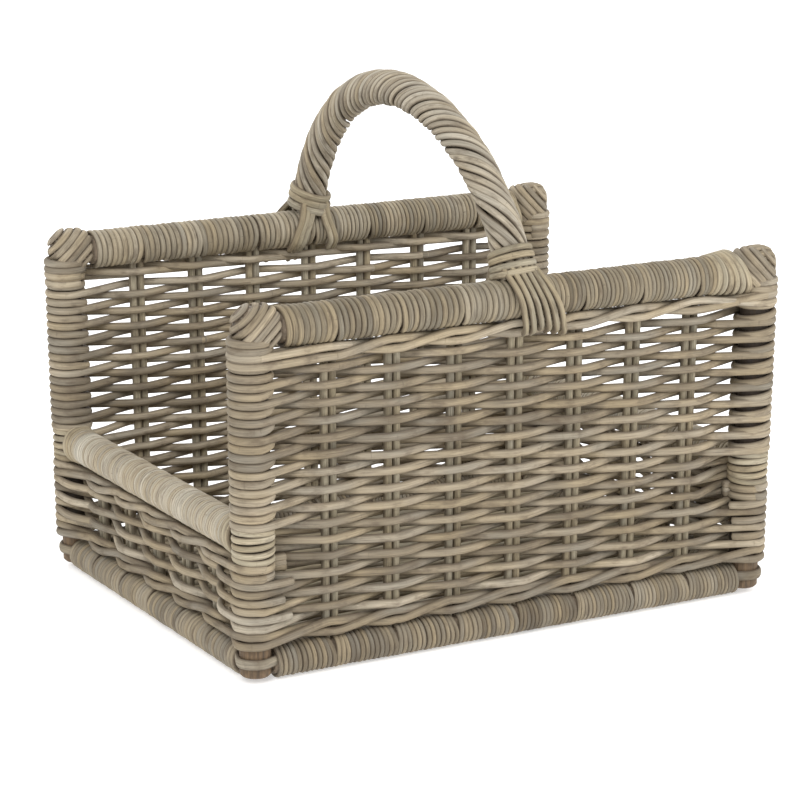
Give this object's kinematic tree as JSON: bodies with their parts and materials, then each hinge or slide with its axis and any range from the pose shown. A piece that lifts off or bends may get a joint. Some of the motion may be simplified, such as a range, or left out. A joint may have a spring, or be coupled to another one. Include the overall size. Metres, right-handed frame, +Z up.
{
  "type": "wicker log basket",
  "caption": "Rectangular wicker log basket with tall woven side walls, low woven ends, wrapped rails and a fixed arched wrapped handle.",
  "frame": {"origin": "on the ground, under the middle of the overall box", "axes": "+X along the length, towards the right end wall; +Y across, from the near side wall to the far one; +Z up"},
  "size_m": [0.5236, 0.4124, 0.4518],
  "materials": {
    "peeled_pole": "matt, bark-brown",
    "knot_cane": "matt, weathered grey",
    "core_pole": "matt",
    "rail_cane": "matt, weathered grey",
    "base_cane": "matt, weathered grey",
    "weaving_cane": "matt, weathered grey-beige",
    "lashing_cane": "matt",
    "stake_cane": "matt",
    "end_rail_cane": "matt, pale weathered grey",
    "floor_cane": "matt",
    "handle_cane": "matt, slightly handled"
  },
  "bodies": {
    "root": {"post_near_left": "peeled_pole", "knot_near_left": "knot_cane", "post_near_right": "peeled_pole", "knot_near_right": "knot_cane", "top_core_near": "core_pole", "top_wrap_near": "rail_cane", "base_core_near": "core_pole", "base_wrap_near": "base_cane", "weave_near": "weaving_cane", "lashing_near": "lashing_cane", "stake_near_1": "stake_cane", "stake_near_2": "stake_cane", "stake_near_3": "stake_cane", "stake_near_4": "stake_cane", "stake_near_5": "stake_cane", "stake_near_6": "stake_cane", "stake_near_7": "stake_cane", "post_far_left": "peeled_pole", "knot_far_left": "knot_cane", "post_far_right": "peeled_pole", "knot_far_right": "knot_cane", "top_core_far": "core_pole", "top_wrap_far": "rail_cane", "base_core_far": "core_pole", "base_wrap_far": "base_cane", "weave_far": "weaving_cane", "lashing_far": "lashing_cane", "stake_far_1": "stake_cane", "stake_far_2": "stake_cane", "stake_far_3": "stake_cane", "stake_far_4": "stake_cane", "stake_far_5": "stake_cane", "stake_far_6": "stake_cane", "stake_far_7": "stake_cane", "base_core_left": "core_pole", "base_wrap_left": "base_cane", "end_core_left": "core_pole", "end_wrap_left": "end_rail_cane", "weave_left": "weaving_cane", "stake_left_1": "stake_cane", "stake_left_2": "stake_cane", "stake_left_3": "stake_cane", "stake_left_4": "stake_cane", "stake_left_5": "stake_cane", "base_core_right": "core_pole", "base_wrap_right": "base_cane", "end_core_right": "core_pole", "end_wrap_right": "end_rail_cane", "weave_right": "weaving_cane", "stake_right_1": "stake_cane", "stake_right_2": "stake_cane", "stake_right_3": "stake_cane", "stake_right_4": "stake_cane", "stake_right_5": "stake_cane", "floor_weave": "floor_cane", "floor_bar_1": "core_pole", "floor_bar_2": "core_pole", "handle_core": "core_pole", "handle_wrap_near": "handle_cane", "handle_wrap_far": "handle_cane"}
  },
  "joints": []
}
